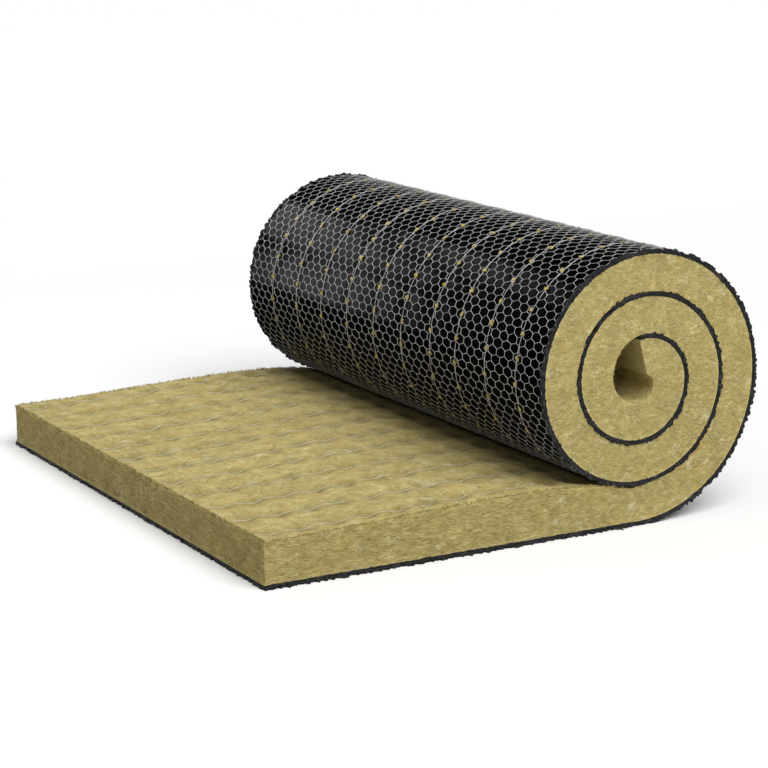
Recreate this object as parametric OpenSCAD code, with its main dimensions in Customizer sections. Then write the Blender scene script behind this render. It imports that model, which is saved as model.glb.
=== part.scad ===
// Partly unrolled stone-wool wired mat: a wool slab on a black facing.
// The free end lies flat on the floor and the rest is wound, facing outwards, on top of it.
// Millimetres. X runs along the mat, with the free end at -X and the roll at +X. Y is the roll's axis. Z is up.
// The origin is the centre of the footprint, on the floor.

/* [Mat] */
// Width of the mat, which is the length of the roll
mat_w = 1000; // [300:10:1500]
// Thickness of the wool where it is wound
wool_t = 58; // [30:1:100]
// Thickness of the black facing, with its netting
facing_t = 7; // [2:0.5:15]

/* [Roll] */
// Radius of the hollow inside the innermost whole quarter turn
core_r = 13; // [5:1:100]
// Whole quarter turns, from the floor to the top of the core
quarter_turns = 10; // [6:1:18]
// Angle of the part turn that ends in the cut edge inside the core
end_angle = 14; // [4:1:30]
// Play between a turn's facing and the wool wound round it
turn_gap = 0.3; // [0.1:0.1:2]

/* [Tail] */
// Length of the stretch that lies on the floor, from the free end to the line where the mat curls up
tail_len = 644; // [400:1:3000]
// Extra thickness of the wool at the free end, where nothing presses it
tail_loft = 7; // [0:0.5:20]
// Extra thickness of the wool at the crest of the swelling in front of the roll
crest_loft = 17; // [1:0.5:30]
// Distance from the line where the mat curls up to that crest
crest_dist = 200; // [120:1:350]

/* [Hidden] */

// The winding is a four-centre spiral: each quarter turn is a true arc, a quarter of the pitch tighter
// than the one before, and its centre is moved so that the two arcs meet on a common tangent.
pitch = wool_t + facing_t + turn_gap;
quarter_pitch = pitch / 4;
quarter = 90;
floor_angle = -90;

// Radius of the wool's outer face in quarter turn k, counted from the floor
function wool_r(k) = core_r + wool_t + (quarter_turns - 1 - k) * quarter_pitch;

roll_r = wool_r(0);
// The four centres are the corners of a square with sides of a quarter pitch
function centre_x(k) = (k % 4 == 1 || k % 4 == 2) ? quarter_pitch : 0;
function centre_z(k) = facing_t + roll_r + ((k % 4 >= 2) ? quarter_pitch : 0);

// Places the middle of the footprint at the origin
footprint_shift = (tail_len - roll_r - facing_t) / 2;

// Height of the roll's underside over the floor, at a distance s in front of the curl line
nip_arc = 3;
nip_r = wool_r(nip_arc) + facing_t + turn_gap;
function roll_underside(s) = s < nip_r
    ? centre_z(nip_arc) - sqrt(nip_r * nip_r - s * s)
    : centre_z(nip_arc);

// Loft of the unpressed wool at a distance s in front of the curl line: it swells up to the crest
// and then sinks towards the free end
function loft(s) = s < crest_dist
    ? crest_loft * sin(quarter * s / crest_dist)
    : tail_loft + (crest_loft - tail_loft)
        * (1 + cos(180 * (s - crest_dist) / (tail_len - crest_dist))) / 2;

// Upper face of the tail: the lofted wool, pressed down where the roll lies on it
function tail_top(s) = min(facing_t + wool_t + loft(s), roll_underside(s));

// Distance between the points of the curved upper face
curve_step = 8;
tail_steps = ceil(tail_len / curve_step);
tail_section = concat(
    [[-tail_len, facing_t], [0, facing_t]],
    [for (i = [0 : tail_steps])
        let (s = tail_len * i / tail_steps) [-s, tail_top(s)]]
);

// Extrudes a section drawn in X and Z over the mat's width
module across_width() {
    rotate([90, 0, 0]) linear_extrude(mat_w, center = true) children();
}

// A stretch of quarter turn k between two radii
module turned_stretch(k, inner_r, outer_r, angle) {
    translate([centre_x(k), 0, centre_z(k)])
        rotate([90, 0, 0])
            rotate([0, 0, floor_angle + quarter * k])
                rotate_extrude(angle = angle, $fn = 180)
                    translate([inner_r, -mat_w / 2])
                        square([outer_r - inner_r, mat_w]);
}

// All turns of one layer, whose faces lie inner_offset and outer_offset from the wool's outer face.
// The cut edge inside the core closes to a point where the layer is thicker than the turn's radius.
module wound_layer(inner_offset, outer_offset) {
    for (k = [0 : quarter_turns - 1])
        turned_stretch(k, wool_r(k) + inner_offset, wool_r(k) + outer_offset, quarter);
    last_r = wool_r(quarter_turns);
    turned_stretch(quarter_turns, max(last_r + inner_offset, 0), last_r + outer_offset, end_angle);
}

// The slab of stone wool: the tail with its swelling, and the turns of the roll
module wool_mat() {
    color("darkkhaki")
        translate([footprint_shift, 0, 0]) {
            across_width() polygon(tail_section);
            wound_layer(-wool_t, 0);
        }
}

// The black facing, on the underside of the tail and on the outside of every turn
module facing() {
    color([0.12, 0.12, 0.12])
        translate([footprint_shift, 0, 0]) {
            across_width() translate([-tail_len, 0]) square([tail_len, facing_t]);
            wound_layer(0, facing_t);
        }
}

wool_mat();
facing();
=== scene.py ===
"""Dresses a partly unrolled wired mat: stone wool, black facing, hexagonal netting and stitching wire.

Every piece is modelled on the flat mat, as it is made, and is then wound up with the rest.
On the flat mat, "along" runs from the free end into the roll and is zero at the line where the mat
curls up, "across" is the part's Y, and "up" is measured from the facing into the wool.
"""

import math

import bmesh
import bpy
import numpy as np
from bpy.props import FloatProperty, FloatVectorProperty, IntProperty, PointerProperty
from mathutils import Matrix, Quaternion, Vector, noise


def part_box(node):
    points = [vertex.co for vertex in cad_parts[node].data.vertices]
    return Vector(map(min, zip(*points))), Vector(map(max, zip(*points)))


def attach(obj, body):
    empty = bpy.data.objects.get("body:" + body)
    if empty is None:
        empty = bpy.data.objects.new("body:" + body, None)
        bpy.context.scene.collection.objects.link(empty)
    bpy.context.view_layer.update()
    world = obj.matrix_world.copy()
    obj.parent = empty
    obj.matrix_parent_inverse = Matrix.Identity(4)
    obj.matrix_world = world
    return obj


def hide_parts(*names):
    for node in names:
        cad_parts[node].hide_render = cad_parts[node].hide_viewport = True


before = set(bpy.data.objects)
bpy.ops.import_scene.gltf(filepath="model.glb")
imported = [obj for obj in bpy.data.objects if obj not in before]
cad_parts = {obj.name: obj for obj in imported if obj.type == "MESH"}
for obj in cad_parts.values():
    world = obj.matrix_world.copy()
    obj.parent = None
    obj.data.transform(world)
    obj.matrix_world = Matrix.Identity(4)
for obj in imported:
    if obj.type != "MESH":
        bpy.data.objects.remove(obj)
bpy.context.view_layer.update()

bl_info = {
    "name": "Wired Mat",
    "version": (1, 0, 0),
    "blender": (4, 5, 0),
    "location": "View3D > Sidebar > Wired Mat",
    "description": "Builds the wool, facing, netting and stitching of a partly unrolled wired mat",
    "category": "Add Mesh",
}

SEED = 7
QUARTER = math.pi / 2
SENSOR = 36

# Attributes that the finishes read
FLAT_PLACE = "flat_place"
WOOL_FACE = "wool_face"
STRAND_TONE = "strand_tone"
CUT_FACE = "cut_face"

# Places closer than this are the same: on a new block, and on one whose points have been moved
SAME = 1e-6
ON_FACE = 1e-5

# How far before the covered turn the wires and the tufts stop, where the roll comes down on the tail
WIRES_STOP = 0.085
TUFTS_STOP = 0.09

# Past the curl line the mat lifts off the floor, and what lies under it has room
LIFTED = 0.02


def length(name, description, default):
    """A property that holds a length in metres."""
    return FloatProperty(name=name, description=description, default=default, unit="LENGTH", precision=4)


def colour(name, description, default):
    """A property that holds a colour."""
    return FloatVectorProperty(name=name, description=description, default=default, subtype="COLOR",
                               min=0, max=1)


def degrees(name, description, default):
    """A property that holds an angle, whose default is given in degrees."""
    return FloatProperty(name=name, description=description, default=math.radians(default), subtype="ANGLE")


def amount(name, description, default):
    """A property that counts things."""
    return IntProperty(name=name, description=description, default=default)


def plain(name, description, default):
    """A property that holds a plain number."""
    return FloatProperty(name=name, description=description, default=default)


class MatSizes(bpy.types.PropertyGroup):
    """Sizes of the wool slab and of its winding."""
    wool_t: length("Wool thickness", "Thickness of the wound wool", 0.058)
    turn_gap: length("Turn gap", "Play between a turn's facing and the wool around it", 0.0003)
    quarter_turns: amount("Quarter turns", "Whole quarter turns of the roll", 10)
    end_angle: degrees("End angle", "Part turn that ends in the cut edge in the core", 14)
    tail_loft: length("Tail loft", "Extra thickness of the wool at the free end", 0.007)
    crest_loft: length("Crest loft", "Extra thickness of the wool at the swelling before the roll", 0.017)
    crest_dist: length("Crest distance", "From the curl line to the crest of the swelling", 0.2)


class FacingSizes(bpy.types.PropertyGroup):
    """Sizes of the black facing."""
    sheet_t: length("Sheet thickness", "Thickness of the facing sheet", 0.0050)
    pillow: length("Pillow", "How far the sheet swells out between its stitches", 0.0007)
    edge_w: length("Edge width", "Width of the rough strip along the mat's edges", 0.0042)
    edge_lump: length("Edge lump", "How far the lumps of the rough strip stand out", 0.0034)
    fringe: length("Fringe", "How far the torn fringe of the tail's facing spreads on the floor", 0.010)


class NettingSizes(bpy.types.PropertyGroup):
    """Sizes of the hexagonal netting."""
    cell_w: length("Cell width", "Distance between the twists, across the mat", 0.0247)
    row_pitch: length("Row pitch", "Distance between two rows of twists, along the mat", 0.0126)
    twist: FloatProperty(name="Twist", description="Share of a row that the twist takes", default=0.667,
                         min=0.2, max=0.9, subtype="FACTOR")
    wire_d: length("Wire", "Diameter of the netting wire", 0.00095)
    bend: length("Bend", "How far the corners of the cells stray from a perfect net", 0.0005)


class StitchSizes(bpy.types.PropertyGroup):
    """Sizes of the stitching on both faces."""
    facing_rows: amount("Facing rows", "Rows of stitches on the facing", 10)
    facing_first: length("First facing row", "From the near edge to the first row on the facing", 0.074)
    near_rows: amount("Near rows", "Facing rows of the group by the near edge", 3)
    near_spacing: length("Near row spacing", "Between two facing rows of the near group", 0.091)
    near_gap: length("Near gap", "Between the near group and the other facing rows", 0.080)
    facing_spacing: length("Facing row spacing", "Between two of the other facing rows", 0.095)
    tuft_spacing: length("Tuft spacing", "Between two tufts of wool, along a row", 0.0378)
    tuft_first: length("First tuft", "From the curl line to the first tuft", 0.0128)
    tuft_r: length("Tuft radius", "Half the length of a tuft", 0.0035)
    facing_wire_d: length("Facing stitch wire", "Diameter of the wire on the facing", 0.0011)
    wool_rows: amount("Wool rows", "Rows of stitches on the wool", 12)
    wool_first: length("First wool row", "From the near edge to the first row on the wool", 0.040)
    wool_spacing: length("Wool row spacing", "Between two rows on the wool", 0.0838)
    dip_spacing: length("Dip spacing", "Between two dips of a wire on the wool", 0.0522)
    dip_first: length("First dip", "From the free end to the first dip", 0.030)
    wool_wire_d: length("Wool stitch wire", "Diameter of the wire on the wool", 0.0005)
    dip_depth: length("Dip depth", "How far a stitch pulls the wool down", 0.0055)


class Finishes(bpy.types.PropertyGroup):
    """Colours of the materials."""
    wool: colour("Wool", "Main colour of the stone wool", (0.370, 0.310, 0.122))
    wool_pale: colour("Pale wool", "Colour of the loose, pale strands", (0.505, 0.436, 0.202))
    # The dark wool is both the darkest tone of the loose strands and the painted shade in the hollows
    # between the strands
    wool_dark: colour("Dark wool", "Colour of the hollows between the strands", (0.215, 0.168, 0.056))
    wool_warm: colour("Warm wool", "Colour of the patches with more binder", (0.400, 0.284, 0.088))
    wool_white: colour("White wool", "Colour of the few whitish strands", (0.560, 0.515, 0.330))
    tuft: colour("Tuft", "Colour of the tufts", (0.640, 0.515, 0.205))
    facing: colour("Facing", "Colour of the facing sheet", (0.0012, 0.0012, 0.0013))
    edge: colour("Edge", "Colour of the rough strip along the facing's edges", (0.0048, 0.0048, 0.0050))
    wire: colour("Wire", "Colour of the galvanised wire", (0.46, 0.46, 0.45))
    floor: colour("Floor", "Colour of the studio floor", (0.74, 0.74, 0.74))


class Studio(bpy.types.PropertyGroup):
    """Camera and light."""
    camera_place: FloatVectorProperty(name="Camera place", description="Where the camera stands",
                                      default=(-1.8831, -3.4930, 1.0548), subtype="TRANSLATION")
    azimuth: degrees("Azimuth", "Direction from the object to the camera", -28.826)
    elevation: degrees("Elevation", "Height of the camera's direction", 12.784)
    tilt: degrees("Tilt", "Turn of the camera about its own axis", -0.657)
    lens: FloatProperty(name="Lens", description="Focal length", default=113.83, unit="CAMERA")
    floor_size: length("Floor size", "Side of the floor", 400.0)
    world: plain("World", "Strength of the light from all round", 0.36)
    key: plain("Key", "Strength of the main light", 4.0)
    key_from: FloatVectorProperty(name="Key from", description="Direction that the main light comes from",
                                  default=(0.06, -0.58, 0.80), subtype="DIRECTION")
    key_width: degrees("Key width", "Angle that the main light fills, for soft shadows", 54)


class Winding:
    """Where a point of the flat mat comes to lie once the mat is wound up.

    The winding is a four-centre spiral, as in the solids: each quarter turn is a true arc, a quarter of
    the pitch tighter than the one before, about the next corner of a small square.
    """

    def __init__(self, sizes):
        wool_low, wool_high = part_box("wool_mat")
        facing_low, facing_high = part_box("facing")
        self.width = wool_high.y - wool_low.y
        self.facing_t = wool_low.z - facing_low.z
        self.wool_t = sizes.wool_t
        self.sizes = sizes
        quarter_pitch = (sizes.wool_t + self.facing_t + sizes.turn_gap) / 4
        roll_r = (facing_high.z - facing_low.z - 2 * self.facing_t + quarter_pitch) / 2
        self.tail = facing_high.x - facing_low.x - roll_r - self.facing_t
        self.curl_x = facing_low.x + self.tail
        turn = np.arange(sizes.quarter_turns + 1)
        self.radius = roll_r - turn * quarter_pitch
        self.centre_x = self.curl_x + np.isin(turn % 4, (1, 2)) * quarter_pitch
        self.centre_z = wool_low.z + roll_r + np.isin(turn % 4, (2, 3)) * quarter_pitch
        self.start = np.concatenate([[0], np.cumsum(self.radius[:-1]) * QUARTER])
        self.end = self.start[-1] + self.radius[-1] * sizes.end_angle
        # After one whole turn the mat lies under its own outer turn
        self.covered = self.start[4]
        self.floor_gap = wool_low.z

    def turn_at(self, along):
        """The quarter turn that a place along the mat lies in."""
        return np.clip(np.searchsorted(self.start, along, side="right") - 1, 0, len(self.start) - 1)

    def place(self, flat):
        """Points of the flat mat, wound up and in the part's frame."""
        along, across, up = flat.T
        turn = self.turn_at(along)
        angle = (along - self.start[turn]) / self.radius[turn] + (turn - 1) * QUARTER
        reach = self.radius[turn] - up
        lying = along < 0
        x = np.where(lying, self.curl_x + along, self.centre_x[turn] + reach * np.cos(angle))
        z = np.where(lying, self.floor_gap + up, self.centre_z[turn] + reach * np.sin(angle))
        return np.stack([x, across, z], axis=1)

    def lean(self, along):
        """How steeply the mat climbs at a place along it: zero on the tail, a full turn after one turn."""
        turn = self.turn_at(along)
        return np.where(along < 0, 0, (along - self.start[turn]) / self.radius[turn] + turn * QUARTER)

    def roll_underside(self, along):
        """How high the roll hangs over the tail, measured up from the tail's facing."""
        nip = 3
        reach = self.radius[nip] + self.facing_t + self.sizes.turn_gap
        before = np.clip(-along, 0, reach)
        return self.centre_z[nip] - np.sqrt(reach ** 2 - before ** 2) - self.floor_gap

    def wool_top(self, along):
        """Height of the wool's upper face: lofted on the tail, pressed by the roll, thinned in the core."""
        s = np.clip(-along, 0, self.tail)
        swell = self.sizes.crest_loft * np.sin(QUARTER * np.minimum(s / self.sizes.crest_dist, 1))
        past = np.clip((s - self.sizes.crest_dist) / (self.tail - self.sizes.crest_dist), 0, 1)
        sink = (self.sizes.crest_loft - self.sizes.tail_loft) * (1 - np.cos(math.pi * past)) / 2
        top = np.minimum(self.wool_t + swell - sink, self.roll_underside(along))
        thinned_over, thinned_by = 0.03, 0.004
        core = np.clip((along - self.end + thinned_over) / thinned_over, 0, 1)
        return np.where(along < 0, top, self.wool_t - thinned_by * core)

    def facing_rows(self, stitches):
        """Where the stitch rows of the facing lie, across the mat."""
        steps = np.full(stitches.facing_rows, stitches.facing_spacing)
        steps[0] = stitches.facing_first
        steps[1:stitches.near_rows] = stitches.near_spacing
        steps[stitches.near_rows] = stitches.near_gap
        return -self.width / 2 + np.cumsum(steps)

    def wool_rows(self, stitches):
        """Where the stitch rows of the wool lie, across the mat."""
        return -self.width / 2 + stitches.wool_first + stitches.wool_spacing * np.arange(stitches.wool_rows)

    def tufts(self, stitches, low, high):
        """Where the tufts lie, along the mat, between two places."""
        first = math.ceil((low - stitches.tuft_first) / stitches.tuft_spacing)
        last = math.floor((high - stitches.tuft_first) / stitches.tuft_spacing)
        return stitches.tuft_first + stitches.tuft_spacing * np.arange(first, last + 1)


def lumps(points, size, shift=0.0):
    """A soft pattern of lumps of that size, from -1 to 1, at each point."""
    offset = Vector((shift, 2 * shift, -shift))
    return np.array([noise.noise(Vector(p) / size + offset) for p in points])


def face_lumps(along, across, size, shift):
    """The same pattern on a face of the mat, where only two places are needed."""
    return lumps(np.stack([along, across, np.zeros_like(along)], axis=1), size, shift)


def nearest(values, places):
    """How far each value is from the nearest of the places."""
    return np.abs(values[:, None] - places[None, :]).min(axis=1)


def off_step(values, first, spacing):
    """How far each value is from the nearest of evenly spaced places."""
    phase = (values - first) / spacing
    return np.abs(phase - np.round(phase)) * spacing


def wandering(rng, along, bends, spread):
    """How far a line strays from straight, with that many bends."""
    return np.interp(along, np.linspace(along[0], along[-1], bends), rng.normal(0, spread, bends))


def stitch_pull(mat, stitches, along, across):
    """How far the stitches pull the tail's upper face down, as a share of the dips' depth."""
    groove_share, groove_w = 0.3, 0.012
    dip_w, dip_long = 0.020, 0.015
    unevenness, lump_size = 0.6, 0.06
    off_row = nearest(across, mat.wool_rows(stitches))
    off_dip = off_step(along + mat.tail, stitches.dip_first, stitches.dip_spacing)
    groove = groove_share * np.exp(-(off_row / groove_w) ** 2)
    dip = np.exp(-(off_row / dip_w) ** 2 - (off_dip / dip_long) ** 2)
    return (groove + dip) * (1 + unevenness * face_lumps(along, across, lump_size, 3.1))


def quilt(mat, stitches, along, across):
    """How far the tail's upper face lies above its plain height: it swells up between the stitches."""
    mean_swell, swell_range, lump_size = 0.0016, 0.0018, 0.045
    edge_band, at_edge = 0.03, 0.12
    swell = mean_swell + swell_range * face_lumps(along, across, lump_size, 9.4)
    from_edge = np.minimum(mat.width / 2 - np.abs(across), along + mat.tail)
    inside = np.clip(from_edge / edge_band, at_edge, 1)
    return inside * (swell - stitches.dip_depth * stitch_pull(mat, stitches, along, across))


def tail_face(mat, stitches, along, across):
    """Height of the tail's quilted upper face, which stays clear of the roll above it."""
    clear = 0.002
    plain_face = mat.wool_top(along)
    face = plain_face + quilt(mat, stitches, along, across)
    return np.where(along < 0, np.minimum(face, mat.roll_underside(along) - clear), plain_face)


def painted_side_shade(mat, flat):
    """Painted shade on the wool's cut faces: darkest along the tail, and lighter the higher they stand up
    the roll.
    """
    along = flat[:, 0]
    height = mat.place(flat)[:, 2]
    up_the_roll = np.interp(height, [0.06, 0.36], [0.91, 1.0])
    on_tail = np.interp(along, [-mat.tail, -mat.tail + 0.02, -0.12, 0.1], [0.80, 0.81, 0.81, 1.0])
    return np.minimum(up_the_roll, on_tail)


def points_of(mesh):
    """A mesh's points as an array with one row each."""
    flat = np.zeros(len(mesh.vertices) * 3)
    mesh.vertices.foreach_get("co", flat)
    return flat.reshape(-1, 3)


def move_points(mesh, points):
    """Puts a mesh's points in their new places."""
    mesh.vertices.foreach_set("co", points.astype(np.float32).ravel())
    mesh.update()


def only(piece):
    """Selects one piece and makes it the active one."""
    bpy.ops.object.select_all(action="DESELECT")
    piece.select_set(True)
    bpy.context.view_layer.objects.active = piece


def select_edges(piece, wanted):
    """In edit mode, selects the edges whose two ends pass a test."""
    shape = bmesh.from_edit_mesh(piece.data)
    for face in shape.faces:
        face.select = False
    for vertex in shape.verts:
        vertex.select = False
    for edge in shape.edges:
        edge.select = bool(wanted(edge.verts[0].co, edge.verts[1].co))
    bmesh.update_edit_mesh(piece.data)


def flat_block(name, low, high, parts):
    """Adds a block of the flat mat between two corners.

    parts gives, for each axis, the numbers that the block is divided by, one after the other.
    """
    bpy.ops.object.select_all(action="DESELECT")
    low, high = Vector(low), Vector(high)
    bpy.ops.mesh.primitive_cube_add(size=1, location=(low + high) / 2)
    block = bpy.context.object
    block.name = block.data.name = name
    block.scale = high - low
    bpy.ops.object.transform_apply(location=True, rotation=True, scale=True)
    bpy.ops.object.mode_set(mode="EDIT")
    bpy.ops.mesh.select_mode(type="EDGE")
    for axis, divisions in enumerate(parts):
        for number in divisions:
            select_edges(block, lambda a, b: abs(a[axis] - b[axis]) > SAME)
            bpy.ops.mesh.subdivide(number_cuts=number - 1)
    bpy.ops.object.mode_set(mode="OBJECT")
    return block


def merge_across(piece, hidden):
    """Joins the faces of a hidden side into one strip for each step along the mat."""
    only(piece)
    bpy.ops.object.mode_set(mode="EDIT")
    bpy.ops.mesh.select_mode(type="EDGE")
    select_edges(piece, lambda a, b: abs(a.y - b.y) < SAME and abs(a.z - b.z) < SAME
                 and hidden(a) and hidden(b))
    bpy.ops.mesh.dissolve_edges(use_verts=True)
    bpy.ops.object.mode_set(mode="OBJECT")


def mark(mesh, name, values, domain="POINT"):
    """Keeps a number or a vector for each point or face, which the finish reads."""
    kind, key = ("FLOAT_VECTOR", "vector") if values.ndim > 1 else ("FLOAT", "value")
    made = mesh.attributes.new(name, kind, domain)
    made.data.foreach_set(key, values.astype(np.float32).ravel())


def wind_up(piece, mat, smooth_to):
    """Winds a flat piece into the roll, and keeps where its points were on the flat mat for its finish.

    Faces that meet at up to smooth_to degrees are shaded smooth.
    """
    flat = points_of(piece.data)
    mark(piece.data, FLAT_PLACE, flat)
    move_points(piece.data, mat.place(flat))
    only(piece)
    bpy.ops.object.shade_smooth_by_angle(angle=math.radians(smooth_to))


def mesh_piece(name, points, faces):
    """A new object from arrays of points and faces."""
    mesh = bpy.data.meshes.new(name)
    mesh.from_pydata(points.tolist(), [], faces.tolist())
    piece = bpy.data.objects.new(name, mesh)
    bpy.context.scene.collection.objects.link(piece)
    return piece


def wires(name, paths, diameter):
    """Round wires that follow paths in the part's frame, as one mesh."""
    line = bpy.data.curves.new(name, "CURVE")
    line.dimensions = "3D"
    line.bevel_depth = diameter / 2
    line.bevel_resolution = 0
    line.use_fill_caps = True
    for path in paths:
        spline = line.splines.new("POLY")
        spline.points.add(len(path) - 1)
        spline.points.foreach_set("co", np.column_stack([path, np.ones(len(path))]).ravel())
    piece = bpy.data.objects.new(name, line)
    bpy.context.scene.collection.objects.link(piece)
    only(piece)
    bpy.ops.object.convert(target="MESH")
    piece = bpy.context.object
    bpy.ops.object.shade_smooth()
    return piece


def dress(piece, finish, stands_for=None):
    """Gives a piece its finish, and lets it ride on the mat."""
    piece.data.materials.clear()
    piece.data.materials.append(finish)
    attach(piece, "root")
    if stands_for:
        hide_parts(stands_for)


def add_node(tree, kind, inputs=None, **settings):
    """Adds a shader node. A socket among the inputs is linked, and any other value is set."""
    made = tree.nodes.new(kind)
    for key, value in settings.items():
        setattr(made, key, value)
    for key, value in (inputs or {}).items():
        if isinstance(value, bpy.types.NodeSocket):
            tree.links.new(value, made.inputs[key])
        else:
            made.inputs[key].default_value = value
    return made


def attribute(tree, name, output="Vector"):
    """What a piece's own attribute holds."""
    return add_node(tree, "ShaderNodeAttribute", attribute_name=name).outputs[output]


def parted(tree, vector):
    """The three numbers of a vector."""
    return add_node(tree, "ShaderNodeSeparateXYZ", {0: vector}).outputs


def maths(tree, operation, *values):
    """Result of a Math node."""
    return add_node(tree, "ShaderNodeMath", dict(enumerate(values)), operation=operation).outputs[0]


def vector_maths(tree, operation, *values):
    """Result of a Vector Math node."""
    return add_node(tree, "ShaderNodeVectorMath", dict(enumerate(values)), operation=operation).outputs[0]


def new_finish(name, **sockets):
    """A material with a Principled shader, whose constant sockets are set here."""
    finish = bpy.data.materials.new(name)
    finish.use_nodes = True
    shader = finish.node_tree.nodes["Principled BSDF"]
    for key, value in sockets.items():
        shader.inputs[key.replace("_", " ")].default_value = value
    return finish, finish.node_tree, shader


def ramp(tree, factor, stops):
    """A colour ramp through the given (place, colour) stops."""
    made = add_node(tree, "ShaderNodeValToRGB", {"Fac": factor})
    bar = made.color_ramp.elements
    while len(bar) < len(stops):
        bar.new(0.5)
    for stop, (place, tone) in zip(bar, stops):
        stop.position = place
        stop.color = (*tone, 1) if hasattr(tone, "__len__") else (tone, tone, tone, 1)
    return made.outputs["Color"]


def streaks(tree, place, scale, turn=(0, 0, 0), detail=3.0, roughness=0.6):
    """Noise that is drawn out into streaks: scale gives the number of streaks per metre on each axis."""
    drawn = add_node(tree, "ShaderNodeMapping", {"Vector": place, "Scale": scale, "Rotation": turn})
    made = add_node(tree, "ShaderNodeTexNoise", {"Vector": drawn.outputs["Vector"], "Scale": 1.0,
                                                 "Detail": detail, "Roughness": roughness})
    return made.outputs["Fac"]


def mixed(tree, factor, one, other, blend="MIX"):
    """One colour mixed with another."""
    made = add_node(tree, "ShaderNodeMix", data_type="RGBA", blend_type=blend)
    for socket, value in ((made.inputs[0], factor), (made.inputs[6], one), (made.inputs[7], other)):
        if isinstance(value, bpy.types.NodeSocket):
            tree.links.new(value, socket)
        else:
            socket.default_value = value
    return made.outputs[2]


def summed(tree, parts):
    """Weighted sum of (socket, weight) pairs."""
    total = None
    for socket, weight in parts:
        term = maths(tree, "MULTIPLY", socket, weight)
        total = term if total is None else maths(tree, "ADD", total, term)
    return total


def scaled(tone, *factors):
    """A colour that is made darker or brighter by each of the factors."""
    return [math.prod(factors) * c for c in tone]


def tinted(tree, tone, pattern, stops, tint):
    """A tone that takes on a tint where the pattern is strong, by the shares that the stops give."""
    return mixed(tree, ramp(tree, pattern, stops), tone, (*tint, 1))


def bumps(tree, shader, height, strength, distance):
    """Lets the light pick out a height as small bumps."""
    made = add_node(tree, "ShaderNodeBump", {"Height": height, "Strength": strength, "Distance": distance})
    tree.links.new(made.outputs["Normal"], shader.inputs["Normal"])


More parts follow.
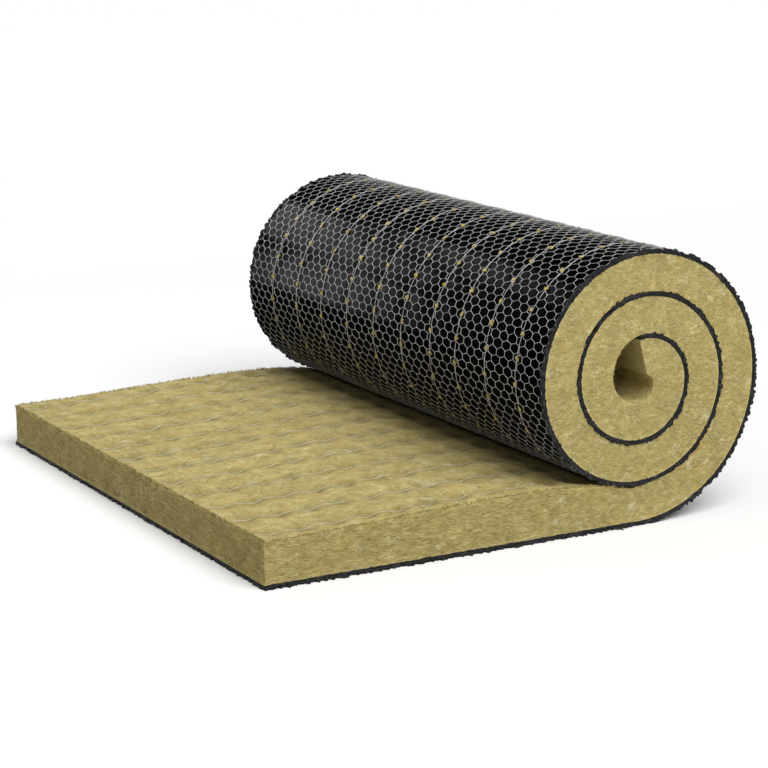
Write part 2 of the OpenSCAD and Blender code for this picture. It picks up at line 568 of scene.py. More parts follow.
def wool_finish(colours):
    """Stone wool: matted strands of several sizes that lie along the mat, with paler and warmer patches."""
    finish, tree, shader = new_finish("stone_wool", Roughness=0.95, Specular_IOR_Level=0.08)
    # Places on the flat mat, turned round on the free end's cut, and places that keep level round the roll
    lengthwise, on_cut = attribute(tree, FLAT_PLACE), attribute(tree, CUT_FACE, "Fac")
    shade, on_top, on_roll = parted(tree, attribute(tree, WOOL_FACE))
    along, across, up = parted(tree, lengthwise)
    crosswise = add_node(tree, "ShaderNodeCombineXYZ", {0: across, 1: along, 2: up}).outputs[0]
    flat = mixed(tree, on_cut, lengthwise, crosswise)
    sway = add_node(tree, "ShaderNodeTexNoise", {"Vector": flat, "Scale": 22.0, "Detail": 2.0})
    bent = vector_maths(tree, "SUBTRACT", sway.outputs["Color"], (0.5, 0.5, 0.5))
    bent = vector_maths(tree, "MULTIPLY", bent, (0.016, 0.026, 0.02))
    place = vector_maths(tree, "ADD", flat, bent)
    level = vector_maths(tree, "ADD", add_node(tree, "ShaderNodeTexCoord").outputs["Object"], bent)
    # Patterns, from broad bands to single fibres
    broad = streaks(tree, level, (45, 130, 150), detail=2.0)
    strand = streaks(tree, level, (85, 300, 400), turn=(0, 0.25, 0))
    crossing = streaks(tree, level, (100, 340, 420), turn=(0, -0.35, 0))
    tangled = maths(tree, "MAXIMUM", strand, crossing)
    thread = streaks(tree, place, (95, 150, 640), turn=(0, 0.05, 0))
    fibre = streaks(tree, level, (330, 1000, 1100), turn=(0.1, 0.15, -0.2), detail=2.0)
    layer = streaks(tree, place, (40, 60, 480), detail=3.0)
    felt = streaks(tree, place, (95, 60, 120), detail=2.0)
    blotch = streaks(tree, flat, (26, 30, 34), detail=2.0, roughness=0.5)
    tangle = streaks(tree, place, (400, 170, 300), turn=(0, 0, 0.3), detail=3.0)
    speck = streaks(tree, place, (800, 320, 700), turn=(0, 0, -0.4), detail=2.0)
    patch = add_node(tree, "ShaderNodeTexNoise", {"Vector": flat, "Scale": 26.0, "Detail": 3.0})
    # Relief of the roll's ends, of the tail's cut sides and of its upper face
    wound = summed(tree, [(broad, 0.15), (tangled, 0.55), (fibre, 0.30)])
    wound = maths(tree, "MULTIPLY_ADD", wound, 0.88, 0.035)
    lying = summed(tree, [(broad, 0.04), (layer, 0.32), (thread, 0.32), (strand, 0.14), (fibre, 0.18)])
    lying = maths(tree, "MULTIPLY_ADD", lying, 1.3, -0.15)
    open_face = summed(tree, [(felt, 0.26), (tangle, 0.28), (speck, 0.36), (blotch, 0.10)])
    open_face = maths(tree, "MULTIPLY_ADD", open_face, 0.66, 0.17)
    relief = add_node(tree, "ShaderNodeMix", {0: on_roll, 2: lying, 3: wound}).outputs[0]
    relief = add_node(tree, "ShaderNodeMix", {0: on_top, 2: relief, 3: open_face}).outputs[0]
    # Colour: painted shade in the hollows between the strands, paler strands on top, blotches, binder,
    # whitish strands and a painted highlight, a pale line along the wool's edge over the facing
    # Painted shade: the dark wool goes where the relief is low, in the hollows between the strands
    tone = ramp(tree, relief, [(0.39, colours.wool_dark), (0.495, colours.wool), (0.61, colours.wool_pale)])
    tone = mixed(tree, 1.0, tone, ramp(tree, blotch, [(0.32, 0.89), (0.5, 1.0), (0.68, 1.09)]), "MULTIPLY")
    tone = tinted(tree, tone, patch.outputs["Fac"], [(0.48, 0.0), (0.68, 0.38)], colours.wool_warm)
    ginger = streaks(tree, place, (170, 110, 220), turn=(0.2, 0.3, 0.5), detail=3.0)
    tone = tinted(tree, tone, ginger, [(0.51, 0.0), (0.68, 0.6)], colours.wool_warm)
    wisp = streaks(tree, place, (34, 60, 60), turn=(0.3, 0.5, 0.9), detail=3.0)
    tone = tinted(tree, tone, wisp, [(0.57, 0.0), (0.74, 0.6)], colours.wool_white)
    # Painted highlight: a pale line on the wool just above the facing, where its edge would catch the light
    painted_edge_highlight = maths(tree, "MULTIPLY", up, 200.0)
    tone = tinted(tree, tone, painted_edge_highlight, [(0.25, 0.5), (0.50, 0.0)], colours.wool_pale)
    # Painted shade: the free end's cut face is tinted warmer, as the warm light in its shade
    tone = mixed(tree, on_cut, tone, mixed(tree, 1.0, tone, (1.0, 0.970, 0.92, 1), "MULTIPLY"))
    # Painted shade: the wool is darkened in the stitch hollows of the tail's upper face, and on the cut
    # faces, most along the tail and low down
    tone = mixed(tree, 1.0, tone, shade, "MULTIPLY")
    tree.links.new(tone, shader.inputs["Base Color"])
    bumps(tree, shader, relief, strength=0.55, distance=0.006)
    return finish


def strand_finish(name, stops):
    """Loose strands and tufts: each has a tone of its own, between the colours of the stops."""
    finish, tree, shader = new_finish(name, Roughness=0.9, Specular_IOR_Level=0.08)
    tree.links.new(ramp(tree, attribute(tree, STRAND_TONE, "Fac"), stops), shader.inputs["Base Color"])
    return finish


def facing_finish(colours):
    """Black facing sheet: satin, with a fine fleece grain and slight wrinkles."""
    finish, tree, shader = new_finish("black_facing", Specular_IOR_Level=0.004)
    flat = attribute(tree, FLAT_PLACE)
    grain = streaks(tree, flat, (900, 900, 900), detail=2.0)
    wrinkle = streaks(tree, flat, (60, 25, 60), detail=3.0)
    cloudy = streaks(tree, flat, (9, 7, 9), detail=2.0)
    tone = ramp(tree, grain, [(0.3, scaled(colours.facing, 0.6)), (0.7, scaled(colours.facing, 1.6))])
    tree.links.new(tone, shader.inputs["Base Color"])
    gloss = ramp(tree, summed(tree, [(cloudy, 0.6), (wrinkle, 0.4)]), [(0.35, 0.10), (0.65, 0.20)])
    tree.links.new(gloss, shader.inputs["Roughness"])
    height = summed(tree, [(wrinkle, 0.7), (grain, 0.12)])
    bumps(tree, shader, height, strength=0.2, distance=0.002)
    return finish


def edge_finish(colours):
    """Rough edge of the facing: torn black fibres with dusty, greyer tips."""
    finish, tree, shader = new_finish("facing_edge", Roughness=0.7, Specular_IOR_Level=0.25)
    flat = attribute(tree, FLAT_PLACE)
    torn = streaks(tree, flat, (260, 420, 420), detail=4.0, roughness=0.65)
    tone = ramp(tree, torn, [(0.40, scaled(colours.edge, 0.2)), (0.5, colours.edge),
                             (0.64, scaled(colours.edge, 3.2))])
    dusty = streaks(tree, flat, (24, 60, 60), detail=2.0)
    dusted = mixed(tree, 1.0, tone, (3.0, 3.0, 3.0, 1), "MULTIPLY")
    tone = mixed(tree, ramp(tree, dusty, [(0.48, 0.0), (0.66, 1.0)]), tone, dusted)
    tree.links.new(tone, shader.inputs["Base Color"])
    bumps(tree, shader, torn, strength=0.8, distance=0.002)
    return finish


def wire_finish(name, colours, brightness=1.0, metal=0.75):
    """Galvanised wire: grey zinc with a spangled, slightly cloudy surface."""
    finish, tree, shader = new_finish(name, Metallic=metal)
    place = add_node(tree, "ShaderNodeTexCoord").outputs["Object"]
    cloudy = streaks(tree, place, (180, 180, 180), detail=2.0)
    tone = ramp(tree, cloudy, [(0.35, scaled(colours.wire, 0.8, brightness)),
                               (0.65, scaled(colours.wire, 1.12, brightness))])
    tree.links.new(tone, shader.inputs["Base Color"])
    gloss = ramp(tree, cloudy, [(0.3, 0.40), (0.7, 0.58)])
    tree.links.new(gloss, shader.inputs["Roughness"])
    return finish


class WIREDMAT_OT_wool(bpy.types.Operator):
    """Builds the slab of stone wool, quilted on the tail and wound up in the roll"""
    bl_idname = "wired_mat.wool"
    bl_label = "Stone wool"

    def execute(self, context):
        scene = context.scene
        mat, stitches = Winding(scene.mat_sizes), scene.stitch_sizes
        half, inset, tail_share = mat.width / 2, 0.0012, 0.4
        slab = flat_block("stone_wool", (-mat.tail, -half + inset, 0), (mat.end, half - inset, mat.wool_t),
                          ((20, 20), (20, 10), (10,)))
        split = -mat.tail + tail_share * (mat.tail + mat.end)
        points = points_of(slab.data)
        points[:, 0] = np.interp(points[:, 0], [-mat.tail, split, mat.end], [-mat.tail, 0, mat.end])
        move_points(slab.data, points)
        self.join_hidden(slab, mat, half)
        self.mark_faces(slab.data, mat, stitches)
        self.shape(slab.data, mat, stitches, half - inset)
        wind_up(slab, mat, 50)
        dress(slab, wool_finish(scene.finishes), "wool_mat")
        return {"FINISHED"}

    @staticmethod
    def join_hidden(slab, mat, half):
        """Joins the faces that the facing and the turns of the roll cover, short of their edges."""
        edge_strip, curl_strip, core_turn, core_strip = 0.003, 0.01, 7, 0.03
        core = mat.start[core_turn] - core_strip

        def hidden(p):
            under_turn = p.z > mat.wool_t - SAME and curl_strip < p.x < core
            return abs(p.y) < half - edge_strip and (p.z < SAME or under_turn)

        merge_across(slab, hidden)

    @staticmethod
    def mark_faces(mesh, mat, stitches):
        """Marks the wool's painted shade, the tail's upper face, the roll and the free end, for the finish.
        """
        under_roll, face_share = 0.05, 0.99
        top_shade, hollow_shade, least, most = 0.985, 0.37, 0.1, 0.9
        roll_from, roll_over = 0.25, 0.3
        points = points_of(mesh)
        along, across, up = points.T
        on_top = (along < -under_roll) & (up > face_share * mat.wool_t)
        # Painted shade: darker in the stitch hollows of the upper face, and on the cut faces as the side
        # shade gives
        hollow = np.clip(stitch_pull(mat, stitches, along, across), least, most) - least
        shade = np.where(on_top, top_shade - hollow_shade * hollow, painted_side_shade(mat, points))
        on_roll = np.clip((along + roll_from) / roll_over, 0, 1)
        mark(mesh, WOOL_FACE, np.stack([shade, on_top, on_roll], axis=1))
        centres = np.zeros(len(mesh.polygons) * 3)
        mesh.polygons.foreach_get("center", centres)
        mark(mesh, CUT_FACE, centres[::3] < -mat.tail + ON_FACE, "FACE")

    @staticmethod
    def shape(mesh, mat, stitches, half):
        """Lofts and quilts the tail, and roughens the cut faces and their edges."""
        points = points_of(mesh)
        along, across, up = points.T
        rounding, rounded_w = 0.0014, 0.006
        ragged_w, ragged_edge, smoothed_by, smoothed_w = 0.012, 1.5, 0.8, 0.006
        side_inset, cut_inset, cut_roughness, roll_room = 0.0006, 0.0015, 1.2, 0.006
        share = up / mat.wool_t
        upper, off_facing = share > 0.99, share > 0.02
        rough = 0.0012 * lumps(points, 0.016) + 0.0007 * lumps(points, 0.007, 5.0)
        ends = np.abs(across) > half - ON_FACE
        cut = along < -mat.tail + ON_FACE
        face = tail_face(mat, stitches, along, across)
        on_tail = along < 0
        from_edge = np.minimum(half - np.abs(across), along + mat.tail)
        rounded = rounding * np.clip(1 - from_edge / rounded_w, 0, 1) ** 2 * upper * on_tail
        off_row = nearest(across, mat.wool_rows(stitches))
        ragged = np.where(from_edge < ragged_w, ragged_edge,
                          1 - smoothed_by * np.exp(-(off_row / smoothed_w) ** 2))
        open_top = on_tail & upper & (mat.roll_underside(along) - face > roll_room)
        moved = points.copy()
        moved[:, 2] = share * face - rounded + np.where(open_top, ragged * rough, 0)
        moved[:, 1] -= np.sign(across) * ends * (side_inset + rough) * off_facing
        moved[:, 0] += cut * (cut_inset + cut_roughness * rough) * off_facing
        move_points(mesh, moved)


class WIREDMAT_OT_facing(bpy.types.Operator):
    """Builds the black facing sheet on the outside of the wool"""
    bl_idname = "wired_mat.facing"
    bl_label = "Facing sheet"

    def execute(self, context):
        scene = context.scene
        mat, sizes, stitches = Winding(scene.mat_sizes), scene.facing_sizes, scene.stitch_sizes
        overlap, end_gap, wool_gap, edge_strip, inner = 0.0015, 0.002, 0.0002, 0.003, -0.001
        half, margin = mat.width / 2, sizes.edge_w - overlap
        sheet = flat_block("facing_sheet", (-mat.tail + margin, -half + margin, -sizes.sheet_t),
                           (mat.end - end_gap, half - margin, -wool_gap), ((16, 20), (25, 5), (1,)))
        inside = half - margin - edge_strip
        merge_across(sheet, lambda p: abs(p.y) < inside and (p.z > inner or p.x > mat.covered))
        points = points_of(sheet.data)
        points[:, 2] -= np.where(points[:, 2] < inner, self.swell(points, mat, sizes, stitches), 0)
        move_points(sheet.data, points)
        wind_up(sheet, mat, 50)
        dress(sheet, facing_finish(scene.finishes), "facing")
        return {"FINISHED"}

    @staticmethod
    def swell(points, mat, sizes, stitches):
        """How far the sheet swells out: least along the rows of stitches and round the tufts."""
        groove_share, groove_w = 0.6, 0.014
        tuft_w, tuft_long = 0.020, 0.010
        unevenness, lump_size = 0.5, 0.05
        off_row = nearest(points[:, 1], mat.facing_rows(stitches))
        off_tuft = off_step(points[:, 0], stitches.tuft_first, stitches.tuft_spacing)
        pulled = np.maximum(groove_share * np.exp(-(off_row / groove_w) ** 2),
                            np.exp(-(off_row / tuft_w) ** 2 - (off_tuft / tuft_long) ** 2))
        return sizes.pillow * (1 - pulled) * (1 + unevenness * lumps(points, lump_size, 2.0))


class WIREDMAT_OT_facing_edges(bpy.types.Operator):
    """Builds the rough strips along the facing's two long edges and its free end"""
    bl_idname = "wired_mat.facing_edges"
    bl_label = "Facing edges"

    def execute(self, context):
        scene = context.scene
        mat, sizes = Winding(scene.mat_sizes), scene.facing_sizes
        half, wide, thick = mat.width / 2, sizes.edge_w, mat.facing_t
        low, parts = -mat.tail, ((40, 40), (3,), (3,))
        near = flat_block("facing_edges", (low, -half, -thick), (mat.end, -half + wide, 0), parts)
        far = flat_block("far_edge", (low, half - wide, -thick), (mat.end, half, 0), parts)
        free = flat_block("free_edge", (low, -half + wide, -thick), (low + wide, half - wide, 0),
                          ((3,), (25, 25), (3,)))
        only(near)
        far.select_set(True)
        free.select_set(True)
        bpy.ops.object.join()
        self.tear(near.data, mat, sizes, half)
        wind_up(near, mat, 60)
        dress(near, edge_finish(scene.finishes))
        return {"FINISHED"}

    @staticmethod
    def tear(mesh, mat, sizes, half):
        """Makes the strips lumpy and ragged where they show, and keeps them clear of the floor."""
        points = points_of(mesh)
        along, across, up = points.T
        lump, on_tail = sizes.edge_lump, along < 0
        by_wool = up > -ON_FACE
        torn = (0.55 * lumps(points, 0.012) + 0.8 * lumps(points, 0.0055, 4.0)
                + 0.5 * lumps(points, 0.003, 8.0))
        outer = np.clip(-up / mat.facing_t, 0, 1)
        moved = points.copy()
        on_floor, on_roll = 1.6 * torn + 0.15, 1.3 * torn
        moved[:, 2] += lump * outer * np.where(along < LIFTED, on_floor, on_roll)
        at_free_end = along < -mat.tail + sizes.edge_w
        inner_lift = np.where(at_free_end, -0.0010, np.where(on_tail, 0.0004, -0.0005))
        inner_share = np.where(on_tail, 0.25, 0.7)
        moved[:, 2] += np.where(by_wool, inner_lift + inner_share * lump * torn, 0)
        outwards = np.where(np.abs(across) > half - ON_FACE, np.sign(across), 0)
        front = along < -mat.tail + ON_FACE
        free_share = np.where(up < -ON_FACE, 1, 0.2)
        side_lumps = 0.0005 + 0.8 * lump * lumps(points, 0.004, 6.0)
        front_lumps = 0.0004 + 0.7 * lump * lumps(points, 0.004, 6.5)
        foot_from, curl_strip, front_share = 0.5, 0.01, 0.5
        foot = np.clip((outer - foot_from) / (1 - foot_from), 0, 1) * (along < -curl_strip)
        fringe = sizes.fringe * foot * np.clip(lumps(points, 0.006, 2.6) + 0.1, 0, 1)
        moved[:, 1] += outwards * side_lumps * free_share
        moved[:, 1] += outwards * fringe
        moved[:, 0] -= front * front_share * fringe
        moved[:, 0] -= front * front_lumps * free_share
        off_floor, curl_reach = 0.0001, 0.2
        lowest = -mat.facing_t + off_floor - np.clip(along, 0, curl_reach) ** 2 / (2 * mat.radius[0])
        moved[:, 2] = np.maximum(moved[:, 2], lowest)
        move_points(mesh, moved)


class WIREDMAT_OT_netting(bpy.types.Operator):
    """Builds the hexagonal netting on the roll and under the tail, one continuous wire beside the other"""
    bl_idname = "wired_mat.netting"
    bl_label = "Netting"

    def execute(self, context):
        scene = context.scene
        mat = Winding(scene.mat_sizes)
        net, end_gap = scene.netting_sizes, 0.006
        finish = wire_finish("galvanised_netting", scene.finishes)
        rng = np.random.default_rng(SEED)
        last_row = round((mat.covered - WIRES_STOP) / net.row_pitch)
        first_row = -int((mat.tail - end_gap) / net.row_pitch)
        for name, first, last in (("netting_roll", 0, last_row), ("netting_tail", first_row, 0)):
            paths = self.paths(mat, net, scene.facing_sizes, first, last, rng)
            piece = wires(name, [mat.place(p) for p in paths], net.wire_d)
            dress(piece, finish)
        return {"FINISHED"}

    @staticmethod
    def paths(mat, net, facing, first, last, rng):
        """The wires on the flat mat. Each one twists with its left and its right neighbour in turn."""
        margin = mat.width / 2 - facing.edge_w / 2
        lanes = int(mat.width / net.cell_w * 2) + 1
        start = -lanes * net.cell_w / 4
        sunk = 0.15 * net.wire_d
        level = -(facing.sheet_t + facing.pillow + sunk)
        rows = np.arange(first, last + 1)
        stray = rng.normal(0, net.bend, (lanes + 2, len(rows), 2))
        twist = net.twist * net.row_pitch / 2
        paths = []
        for lane in range(lanes):
            column = np.where((lane - rows) % 2 == 0, lane, lane + 1)
            side = np.where(column == lane, 1.0, -1.0)
            strayed = stray[column, np.arange(len(rows))]
            middle_u = rows * net.row_pitch + strayed[:, 0]
            middle_v = start + column * net.cell_w / 2 + strayed[:, 1]
            off = 0.5 * net.wire_d * side
            path = np.empty((len(rows), 3, 3))
            for step, (shift, turn, lift) in enumerate(((-twist, 1, 0), (0, -1, 1), (twist, 1, 0))):
                path[:, step, 0] = middle_u + shift
                path[:, step, 1] = np.clip(middle_v + turn * off, -margin, margin)
                path[:, step, 2] = level - lift * off
            paths.append(path.reshape(-1, 3))
        return paths


class WIREDMAT_OT_facing_stitches(bpy.types.Operator):
    """Builds the stitching wires on the facing, one for each row of tufts"""
    bl_idname = "wired_mat.facing_stitches"
    bl_label = "Stitching wire on the facing"

    def execute(self, context):
        scene = context.scene
        mat, stitches, facing = Winding(scene.mat_sizes), scene.stitch_sizes, scene.facing_sizes
        rng = np.random.default_rng(SEED + 1)
        end_gap, steps, bends, stray, dip = 0.006, 10, 40, 0.0005, 0.0012
        along = np.arange(-mat.tail + end_gap, mat.covered - WIRES_STOP, stitches.tuft_spacing / steps)
        phase = (along - stitches.tuft_first) / stitches.tuft_spacing
        fullness = 0.6
        raised = np.abs(np.sin(math.pi * phase)) ** fullness
        stitch = np.floor(phase).astype(int)
        stitch -= stitch.min()
        on_netting, off_floor = 1.4 * scene.netting_sizes.wire_d, 0.6 * stitches.facing_wire_d
        level = -(facing.sheet_t + facing.pillow + on_netting)
        lowest = -mat.facing_t + off_floor
        up = level + dip * (1 - raised)
        up = np.where(along < LIFTED, np.maximum(up, lowest), up)
        paths = []
        for row in mat.facing_rows(stitches):
            wander = wandering(rng, along, bends, stray)
            skew = rng.normal(0, stray, stitch.max() + 1)[stitch]
            paths.append(mat.place(np.stack([along, row + wander + raised * skew, up], axis=1)))
        piece = wires("facing_stitches", paths, stitches.facing_wire_d)
        dress(piece, wire_finish("galvanised_stitches", scene.finishes, brightness=1.2))
        return {"FINISHED"}


class WIREDMAT_OT_wool_stitches(bpy.types.Operator):
    """Builds the wavy stitching wires in the tail's upper face, which the wool buries here and there"""
    bl_idname = "wired_mat.wool_stitches"
    bl_label = "Stitching wire on the wool"

    def execute(self, context):
        scene = context.scene
        mat, stitches = Winding(scene.mat_sizes), scene.stitch_sizes
        rng = np.random.default_rng(SEED + 2)
        end_gap, under_roll, steps, bends = 0.004, 0.095, 12, 26
        swing_w, wander_w, pulled_share = 0.0005, 0.0006, 0.62
        proud, buried = 0.0002, 0.0014
        along = np.arange(-mat.tail + end_gap, -under_roll, stitches.dip_spacing / steps)
        phase = (along + mat.tail - stitches.dip_first) / stitches.dip_spacing
        paths = []
        for row in mat.wool_rows(stitches):
            uneven = wandering(rng, along, bends, 1)
            swing = swing_w * np.sin(2 * math.pi * (phase - 0.25)) * (1 + 0.3 * uneven)
            across = row + swing + wander_w * uneven
            face, taut = tail_face(mat, stitches, along, across), mat.wool_top(along)
            up = np.where(face < taut, taut + pulled_share * (face - taut), face) + proud
            up -= buried * np.clip(uneven, 0, 1)
            paths.append(mat.place(np.stack([along, across, up], axis=1)))
        piece = wires("wool_stitches", paths, stitches.wool_wire_d)
        finish = wire_finish("galvanised_wool_stitches", scene.finishes, brightness=1.4, metal=0.15)
        dress(piece, finish)
        return {"FINISHED"}


def ribbons(name, middle, heading, normal, long, wide, lift, tone):
    """Flat strands on the flat mat: each is a narrow, bowed ribbon with two faces."""
    rooted = 0.0004
    # Place along the strand, share of its width and share of its lift, from its root to its tip
    steps = ((-0.5, 0.45, 0.0), (0.0, 1.0, 0.5), (0.5, 0.25, 1.0))
    corners = 2 * len(steps)
    side = np.cross(normal, heading)
    raised, bow = lift[:, :1], lift[:, 1:]
    points = np.empty((len(middle), len(steps), 2, 3))
    for row, (share, width, rise) in enumerate(steps):
        spine = middle + heading * (share * long)[:, None] + normal * (rise ** 2 * raised - rooted)
        spine = spine + side * (bow * (1 - 4 * share ** 2))
        points[:, row, 0] = spine - side * (width * wide / 2)[:, None]
        points[:, row, 1] = spine + side * (width * wide / 2)[:, None]
    one = np.array([[0, 1, 3, 2], [2, 3, 5, 4]])
    faces = (one[None] + corners * np.arange(len(middle))[:, None, None]).reshape(-1, 4)
    piece = mesh_piece(name, points.reshape(-1, 3), faces)
    mark(piece.data, STRAND_TONE, np.repeat(tone, corners))
    return piece


class WIREDMAT_OT_tufts(bpy.types.Operator):
    """Builds the tufts of wool that the stitches pull through the facing"""
    bl_idname = "wired_mat.tufts"
    bl_label = "Tufts"
    curls = 12

    def execute(self, context):
        scene = context.scene
        mat, stitches = Winding(scene.mat_sizes), scene.stitch_sizes
        rng = np.random.default_rng(SEED + 3)
        end_gap, stray_along, stray_across, proud = 0.01, 0.0008, 0.0010, 0.0004
        pressed, standing, narrowed = 0.0008, 0.0046, 0.72
        reach = stitches.tuft_r
        places = mat.tufts(stitches, -mat.tail + end_gap, mat.covered - TUFTS_STOP)
        along, across = (g.ravel() for g in np.meshgrid(places, mat.facing_rows(stitches)))
        along = along + rng.normal(0, stray_along, len(along))
        across = across + rng.normal(0, stray_across, len(along))
        up = np.full(len(along), -scene.facing_sizes.sheet_t - proud)
        centre = np.repeat(np.stack([along, across, up], axis=1), self.curls, axis=0)
        count = len(centre)
        spread = rng.normal(0, 0.42 * reach, (count, 2)).clip(-reach, reach)
        centre[:, :2] += spread * (1.0, narrowed)
        height = np.where(centre[:, 0] < LIFTED, pressed, standing)
        dome = np.clip(1 - (spread ** 2).sum(axis=1) / reach ** 2, 0.2, 1)
        centre[:, 2] -= height * dome * rng.uniform(0.4, 1.0, count)
        angle = rng.uniform(0, 2 * math.pi, count)
        heading = np.stack([np.cos(angle), np.sin(angle), np.zeros(count)], axis=1)
        normal = np.tile((0.0, 0.0, -1.0), (count, 1))
        lift = np.stack([rng.uniform(-0.001, 0.0008, count), rng.normal(0, 0.0012, count)], axis=1)
        tufts = ribbons("wool_tufts", centre, heading, normal, rng.uniform(0.0045, 0.0075, count),
                        rng.uniform(0.0016, 0.0030, count), lift, rng.uniform(0.55, 1.0, count))
        wind_up(tufts, mat, 60)
        tones = [(0.0, scene.finishes.wool), (1.0, scene.finishes.tuft)]
        dress(tufts, strand_finish("tuft_wool", tones))
        return {"FINISHED"}


class WIREDMAT_OT_strands(bpy.types.Operator):
    """Builds the loose strands on the wool's cut faces, edges and quilted face"""
    bl_idname = "wired_mat.strands"
    bl_label = "Loose strands"
    on_each_end = 9500
    on_tail = 11000
    on_cut = 2600
    on_edges = 7000
    white_share = 0.002

    def execute(self, context):
        scene = context.scene
        mat, stitches = Winding(scene.mat_sizes), scene.stitch_sizes
        rng = np.random.default_rng(SEED + 4)
        half, proud = mat.width / 2, 0.0015
        groups = []

        def group(along, across, up, turn, facing_to, lift):
            """Adds strands at these places, turned on a face that looks that way."""
            looks = np.tile(np.array(facing_to, float), (len(along), 1))
            groups.append((np.stack([along, across, up], axis=1), turn, looks, lift))

        self.face_groups(mat, stitches, half, rng, group)
        self.edge_group(mat, stitches, half, rng, group)
        middle, turn, normal, rise = (np.concatenate(part) for part in zip(*groups))
        first = np.where(np.abs(normal[:, :1]) > 0.5, [[0.0, 1.0, 0.0]], [[1.0, 0.0, 0.0]])
        second = np.cross(normal, first)
        heading = first * np.cos(turn)[:, None] + second * np.sin(turn)[:, None]
        total = len(middle)
        at_edge = np.arange(total) >= total - self.on_edges
        # Painted shade: strands on the cut faces are darkened like the wool beneath them
        shade = np.where(np.abs(normal[:, 2]) > 0.5, 1.0, painted_side_shade(mat, middle))
        tone = np.clip(rng.beta(5, 5, total) * 0.85 - 1.05 * (1 - shade), 0, 1)
        long = rng.uniform(0.005, 0.013, total) * np.where(at_edge, 0.55, 1)
        wide = rng.uniform(0.0005, 0.0012, total)
        lift = np.stack([rise, rng.normal(0, 0.0014, total)], axis=1)
        tone = np.where(rng.random(total) < self.white_share, 1.0, tone)
        strands = ribbons("loose_strands", middle, heading, normal, long, wide, lift, tone)
        points, reach = points_of(strands.data), half + proud
        points[:, 0] = np.maximum(points[:, 0], -mat.tail - proud)
        points[:, 1] = np.clip(points[:, 1], -reach, reach)
        move_points(strands.data, points)
        wind_up(strands, mat, 60)
        colours = scene.finishes
        tones = [(0.0, colours.wool_dark), (0.45, colours.wool), (0.85, colours.wool_pale),
                 (1.0, colours.wool_white)]
        dress(strands, strand_finish("loose_wool", tones))
        return {"FINISHED"}

    def face_groups(self, mat, stitches, half, rng, group):
        """Strands that lie on the two ends of the roll, on the tail's upper face and on its cut end."""
        margin, end_margin, under_roll = 0.003, 0.004, 0.10
        end_inset, cut_inset, proud = 0.0008, 0.001, 0.0002
        for side in (-1.0, 1.0):
            count = self.on_each_end
            along = rng.uniform(-mat.tail + end_margin, mat.end - end_margin, count)
            up = rng.uniform(0.003, 0.985, count) * mat.wool_top(along)
            tangle = np.interp(along, [-0.25, 0.05], [0.14, 0.45])
            turn = side * mat.lean(along) + rng.normal(0, 1, count) * tangle
            group(along, np.full(count, side * (half - end_inset)), up, turn, (0, side, 0),
                  np.abs(rng.normal(0, 0.0006, count)))
        count = self.on_tail
        along = rng.uniform(-mat.tail + margin, -under_roll, count)
        across = rng.uniform(-half + margin, half - margin, count)
        group(along, across, tail_face(mat, stitches, along, across) + proud,
              rng.uniform(-QUARTER, QUARTER, count), (0, 0, 1), np.abs(rng.normal(0.0006, 0.0012, count)))
        count = self.on_cut
        across = rng.uniform(-half + margin, half - margin, count)
        up = rng.uniform(0.01, 0.98, count) * mat.wool_top(np.full(count, -mat.tail))
        group(np.full(count, -mat.tail + cut_inset), across, up, rng.normal(0, 0.2, count), (-1, 0, 0),
              np.abs(rng.normal(0, 0.0007, count)))

    def edge_group(self, mat, stitches, half, rng, group):
        """Strands that stand out at the tail's upper edges, where the wool was cut."""
        inset, band, under_roll = 0.0012, 0.0015, 0.02

        def stand(along, across, upright, facing_to):
            """Adds strands that stand up at an edge, leaning a little to either side."""
            up = self.edge_height(mat, stitches, along, across, rng)
            turn = rng.normal(upright, 0.5, len(along))
            group(along, across, up, turn, facing_to, np.abs(rng.normal(0.0008, 0.0010, len(along))))

        edges = np.array([mat.tail, mat.tail, mat.width])
        number = (edges / edges.sum() * self.on_edges).astype(int)
        for side, count in zip((-1.0, 1.0), number[:2]):
            along = rng.uniform(-mat.tail, -under_roll, count)
            across = np.full(count, side * (half - inset)) - side * np.abs(rng.normal(0, band, count))
            stand(along, across, -side * QUARTER, (0, side, 0))
        across = rng.uniform(-half, half, number[2])
        along = np.full(number[2], -mat.tail + inset) + np.abs(rng.normal(0, band, number[2]))
        stand(along, across, -QUARTER, (-1, 0, 0))

    @staticmethod
    def edge_height(mat, stitches, along, across, rng):
        """Heights of the strands at an upper edge, which stand up in clumps."""
        proud, clump_height, clump_size = 0.0004, 0.0025, 0.0045
        clump = np.minimum(face_lumps(along, across, clump_size, 1.7), 0.5)
        below = rng.uniform(0.0005, 0.0030, len(along))
        return tail_face(mat, stitches, along, across) - below + proud + clump_height * clump


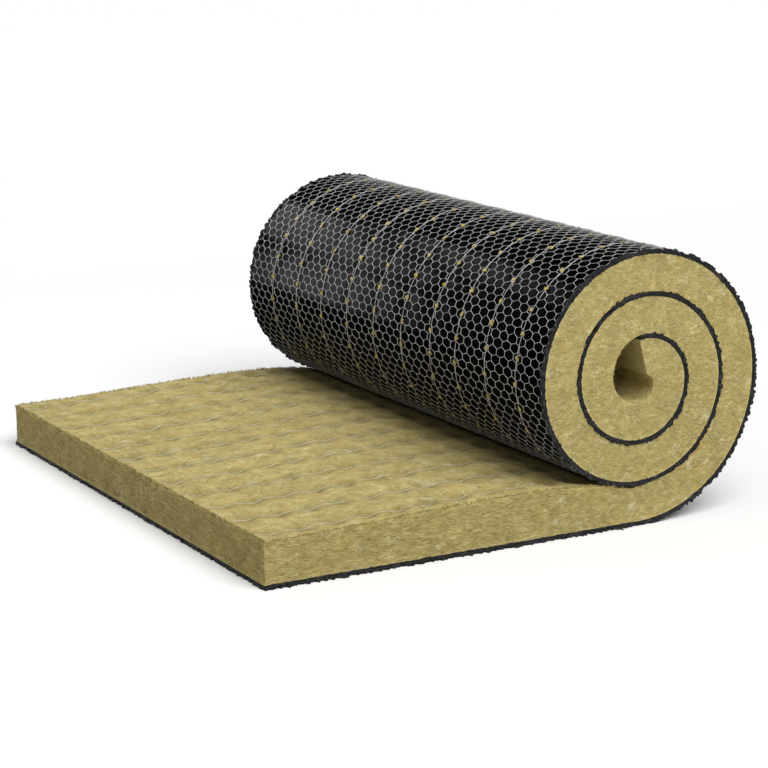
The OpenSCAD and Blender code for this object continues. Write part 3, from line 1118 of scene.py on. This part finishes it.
class WIREDMAT_OT_stage(bpy.types.Operator):
    """Builds the floor, the lights and the camera"""
    bl_idname = "wired_mat.stage"
    bl_label = "Studio"

    def execute(self, context):
        scene, studio = context.scene, context.scene.studio
        bpy.ops.object.select_all(action="DESELECT")
        bpy.ops.mesh.primitive_plane_add(size=studio.floor_size)
        floor = context.object
        floor.name = "floor"
        finish = new_finish("studio_floor", Roughness=0.9, Base_Color=(*scene.finishes.floor, 1))[0]
        floor.data.materials.append(finish)
        self.dark_card(context)
        self.light_up(scene, studio)
        self.set_camera(scene, studio)
        return {"FINISHED"}

    @staticmethod
    def dark_card(context):
        """A dark card behind the object and on the floor there, which shows only in the facing's sheen."""
        behind, wide, tall, foot, off_floor = 2.05, 6.0, 3.6, 1.4, 0.002
        bpy.ops.object.select_all(action="DESELECT")
        bpy.ops.mesh.primitive_plane_add(size=1, location=(0, behind, tall / 2 + off_floor),
                                         rotation=(QUARTER, 0, 0))
        card = context.object
        card.name = "dark_card"
        card.visible_camera = card.visible_diffuse = card.visible_shadow = False
        card.scale = (wide, tall, 1)
        bpy.ops.object.transform_apply(location=True, rotation=True, scale=True)
        bpy.ops.object.mode_set(mode="EDIT")
        select_edges(card, lambda a, b: max(a.z, b.z) < 2 * off_floor)
        bpy.ops.mesh.extrude_edges_move(TRANSFORM_OT_translate={"value": (0, -foot, 0)})
        bpy.ops.object.mode_set(mode="OBJECT")
        finish = new_finish("studio_card", Roughness=1.0, Base_Color=(0.01, 0.01, 0.01, 1))[0]
        card.data.materials.append(finish)
        return card

    @staticmethod
    def light_up(scene, studio):
        """A soft main light, panels for the facing's sheen, and dim light from all round."""
        world = bpy.data.worlds.new("studio_world")
        world.use_nodes = True
        around = world.node_tree.nodes["Background"].inputs
        around["Color"].default_value, around["Strength"].default_value = (1, 1, 1, 1), studio.world
        scene.world = world
        scene.view_settings.view_transform = "Standard"
        key = bpy.data.lights.new("key", "SUN")
        key.energy, key.angle = studio.key, studio.key_width
        lamp = bpy.data.objects.new("key", key)
        lamp.rotation_euler = Vector(studio.key_from).to_track_quat("Z", "Y").to_euler()
        scene.collection.objects.link(lamp)
        # Each panel's lowest and highest corner, sideways and up, and its power in watts
        behind = 2.0
        for name, low, high, power in (("upper_panel", (-0.85, 0.85), (0.05, 1.33), 17.0),
                                       ("right_panel", (-0.75, 1.58), (0.05, 1.85), 7.2),
                                       ("left_panel", (-1.08, 0.05), (-0.75, 0.85), 13.5)):
            area = bpy.data.lights.new(name, "AREA")
            area.shape, area.size, area.size_y = "RECTANGLE", high[0] - low[0], high[1] - low[1]
            area.energy = power
            lamp = bpy.data.objects.new(name, area)
            lamp.location = ((low[0] + high[0]) / 2, behind, (low[1] + high[1]) / 2)
            lamp.rotation_euler = (-QUARTER, 0, 0)
            lamp.visible_camera = lamp.visible_diffuse = False
            scene.collection.objects.link(lamp)

    @staticmethod
    def set_camera(scene, studio):
        """The camera, at the photograph's place and angle."""
        camera = bpy.data.objects.new("camera", bpy.data.cameras.new("camera"))
        camera.data.lens = studio.lens
        camera.data.sensor_width = SENSOR
        level = math.cos(studio.elevation)
        back = Vector((math.sin(studio.azimuth) * level, -math.cos(studio.azimuth) * level,
                       math.sin(studio.elevation)))
        camera.location = studio.camera_place
        camera.rotation_mode = "QUATERNION"
        camera.rotation_quaternion = (-back).to_track_quat("-Z", "Y") @ Quaternion((0, 0, 1), studio.tilt)
        scene.collection.objects.link(camera)
        scene.camera = camera


OPERATORS = (WIREDMAT_OT_wool, WIREDMAT_OT_facing, WIREDMAT_OT_facing_edges, WIREDMAT_OT_netting,
             WIREDMAT_OT_facing_stitches, WIREDMAT_OT_tufts, WIREDMAT_OT_wool_stitches, WIREDMAT_OT_strands,
             WIREDMAT_OT_stage)
GROUPS = {"mat_sizes": MatSizes, "facing_sizes": FacingSizes, "netting_sizes": NettingSizes,
          "stitch_sizes": StitchSizes, "finishes": Finishes, "studio": Studio}


class WIREDMAT_PT_panel(bpy.types.Panel):
    """Lists the pieces of the wired mat and their sizes"""
    bl_idname = "WIREDMAT_PT_panel"
    bl_label = "Wired Mat"
    bl_space_type = "VIEW_3D"
    bl_region_type = "UI"
    bl_category = "Wired Mat"

    def draw(self, context):
        for operator in OPERATORS:
            self.layout.operator(operator.bl_idname)
        for name, group in GROUPS.items():
            box = self.layout.box()
            box.label(text=group.__doc__)
            for key in group.__annotations__:
                box.prop(getattr(context.scene, name), key)


def register():
    for cls in (*GROUPS.values(), *OPERATORS, WIREDMAT_PT_panel):
        bpy.utils.register_class(cls)
    for name, group in GROUPS.items():
        setattr(bpy.types.Scene, name, PointerProperty(type=group))


def unregister():
    for name in GROUPS:
        delattr(bpy.types.Scene, name)
    for cls in (WIREDMAT_PT_panel, *reversed(OPERATORS), *reversed(GROUPS.values())):
        bpy.utils.unregister_class(cls)


def main():
    """Builds every piece in order."""
    register()
    for operator in OPERATORS:
        family, name = operator.bl_idname.split(".")
        getattr(getattr(bpy.ops, family), name)()


if __name__ == "__main__":
    main()
